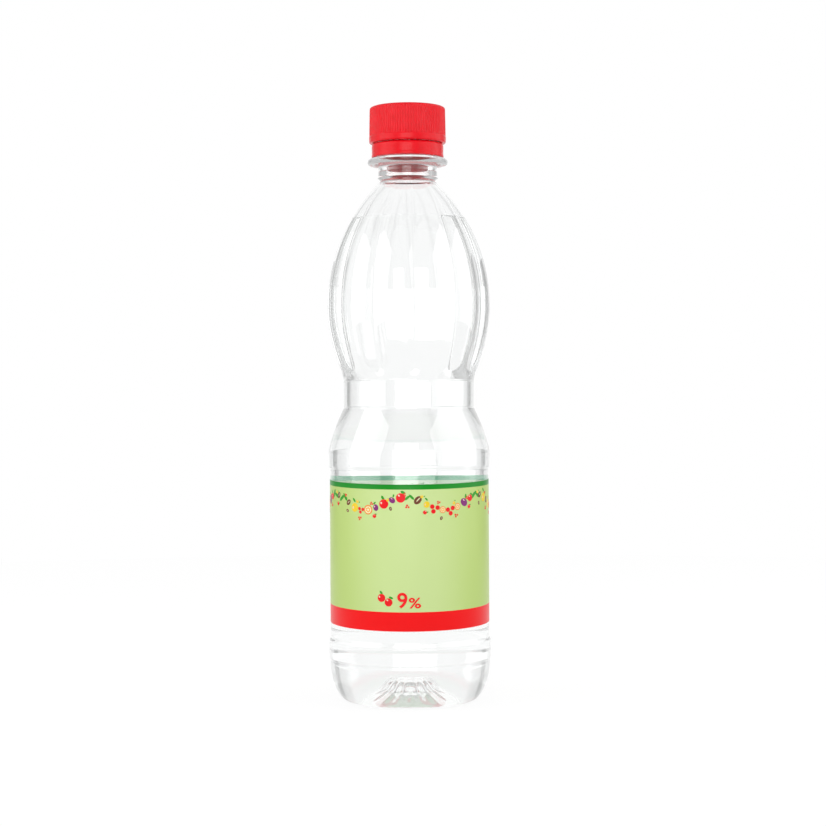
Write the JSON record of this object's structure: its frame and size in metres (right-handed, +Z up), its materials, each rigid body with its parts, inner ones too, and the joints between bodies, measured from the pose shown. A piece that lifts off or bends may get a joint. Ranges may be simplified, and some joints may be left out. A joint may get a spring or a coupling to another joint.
{
  "type": "vinegar bottle",
  "caption": "Clear plastic bottle of vinegar with a fluted bulb, a narrow waist, a wrap-round label and a ribbed screw cap over a tamper band.",
  "frame": {"origin": "middle of the ring that the bottle stands on, on the table", "axes": "+Z up along the bottle's axis, the label's front faces -Y, +X to the right of the front"},
  "size_m": [0.0638, 0.0638, 0.2326],
  "materials": {
    "clear_bottle": "gloss",
    "vinegar": "gloss",
    "label_film": "gloss",
    "red_cap": "satin"
  },
  "bodies": {
    "root": {"bottle": "clear_bottle", "vinegar": "vinegar", "label": "label_film", "cap": "red_cap", "tamper_band": "red_cap"}
  },
  "joints": []
}
